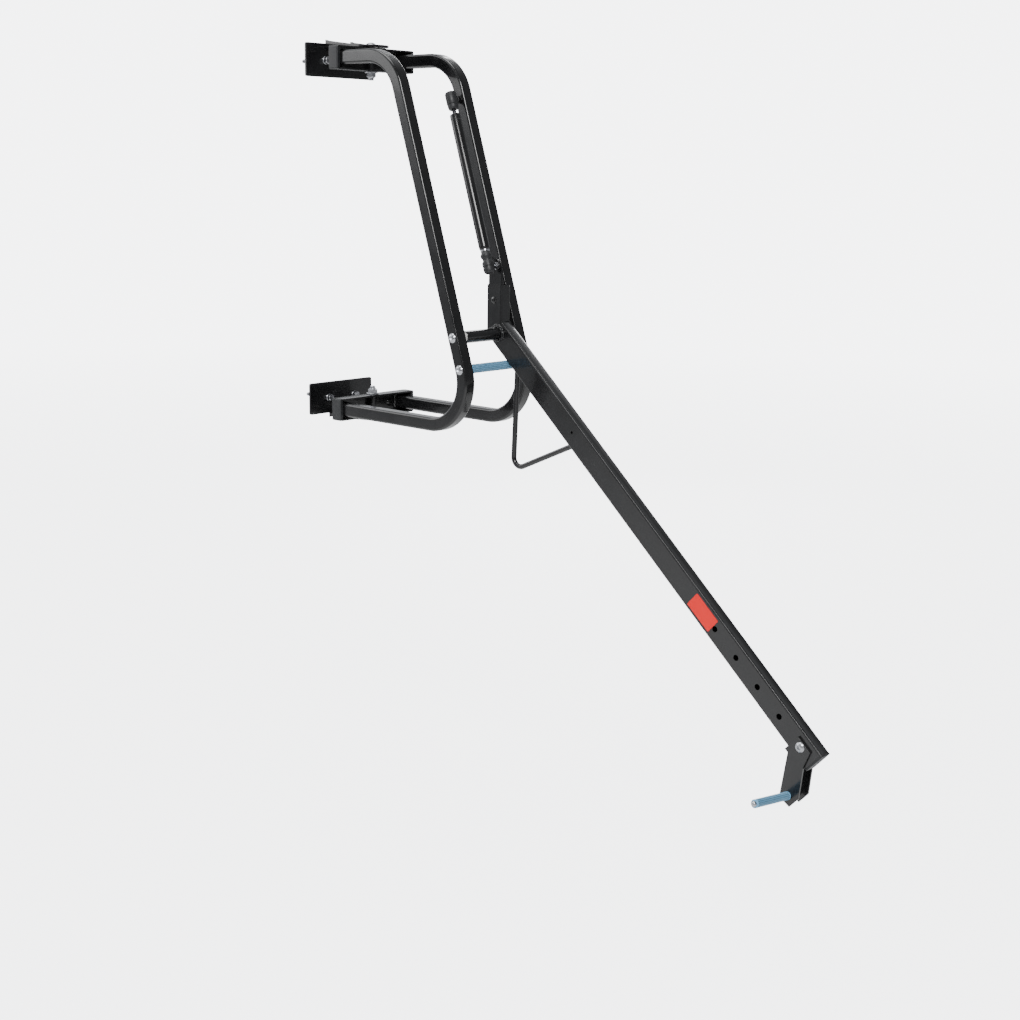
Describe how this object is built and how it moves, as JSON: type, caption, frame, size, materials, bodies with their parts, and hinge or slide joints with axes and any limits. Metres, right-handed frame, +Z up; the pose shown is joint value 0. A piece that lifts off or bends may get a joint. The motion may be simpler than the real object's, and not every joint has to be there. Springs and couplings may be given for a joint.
{
  "type": "bicycle wall rack",
  "caption": "Swivelling wall rack that holds a bicycle upright: bent side tubes, a lift arm with a wheel hook, and a gas spring.",
  "frame": {"origin": "middle of the four wall screws, in the plane of the wall", "axes": "+Y into the wall, +Z up, +X to the right when facing the wall; the rack stands out towards -Y"},
  "size_m": [0.157, 0.9611, 1.0094],
  "materials": {
    "black_coat": "glossy black powder coat on steel",
    "zinc_steel": "bright zinc-plated steel",
    "dark_rod": "ground and nitrided dark rod",
    "dark_plastic": "moulded dark grey plastic",
    "blue_sleeve": "knurled light blue rubber-like sleeve",
    "white_nylon": "plain white nylon",
    "red_label": "blank red film"
  },
  "bodies": {
    "wall_mount": {"upper_wall_bracket": "black_coat", "lower_wall_bracket": "black_coat", "wall_screws": "zinc_steel", "wall_washers": "zinc_steel", "swivel_bolts": "zinc_steel", "swivel_nuts": "zinc_steel", "swivel_washers": "zinc_steel", "slip_washers": "white_nylon"},
    "swing_frame": {"swivel_spacers": "black_coat", "upper_cross_channel": "black_coat", "lower_cross_channel": "black_coat", "channel_end_caps": "dark_plastic", "channel_screws": "black_coat", "channel_screw_nuts": "zinc_steel", "left_side_tube": "black_coat", "right_side_tube": "black_coat", "pivot_axle": "zinc_steel", "pivot_screws": "zinc_steel", "stop_bar": "zinc_steel", "stop_bar_sleeve": "blue_sleeve", "stop_bar_screws": "zinc_steel", "upper_ball_stud": "black_coat", "upper_stud_nut": "black_coat"},
    "lift_arm": {"pivot_tube": "black_coat", "pivot_bushes": "white_nylon", "arm_tube": "black_coat", "arm_end_plug": "dark_plastic", "arm_label": "red_label", "lever_tube": "black_coat", "lever_lug": "black_coat", "lug_bolt": "black_coat", "lug_nut": "zinc_steel", "loop_rod": "black_coat", "hook_bracket": "black_coat", "hook_rod": "black_coat", "hook_sleeve": "blue_sleeve", "hook_tip": "zinc_steel", "hook_bolt": "zinc_steel", "hook_nut": "zinc_steel", "lower_ball_stud": "zinc_steel", "lower_stud_nut": "zinc_steel"},
    "spring_rod_end": {"spring_upper_socket": "dark_plastic", "spring_rod": "dark_rod", "spring_piston": "dark_plastic"},
    "spring_cylinder_end": {"spring_cylinder": "black_coat", "spring_rod_guide": "dark_plastic", "spring_collar": "zinc_steel", "spring_lower_socket": "dark_plastic"}
  },
  "joints": [
    {"name": "frame_swivel", "type": "hinge", "parent": "wall_mount", "child": "swing_frame", "pos_m": [0, -0.078, 0], "axis": [0, 0, 1], "range_deg": [-45, 45]},
    {"name": "arm_lift", "type": "hinge", "parent": "swing_frame", "child": "lift_arm", "pos_m": [0, -0.32541, -0.1366], "axis": [-1, 0, 0], "range_deg": [0, 125]},
    {"name": "spring_swing", "type": "hinge", "parent": "swing_frame", "child": "spring_rod_end", "pos_m": [0.0355, -0.21453, 0.20064], "axis": [0.9906, -0.1255, -0.0537], "range_deg": [0, 18.69]},
    {"name": "spring_slide", "type": "slide", "parent": "spring_rod_end", "child": "spring_cylinder_end", "axis": [-0.0997, -0.3964, -0.9127], "range_m": [0, 0.14184]}
  ],
  "couplings": [
    {"joint": "spring_swing", "follows": "arm_lift", "ratio": 0.14941},
    {"joint": "spring_slide", "follows": "arm_lift", "m_per_rad": 0.064968}
  ]
}
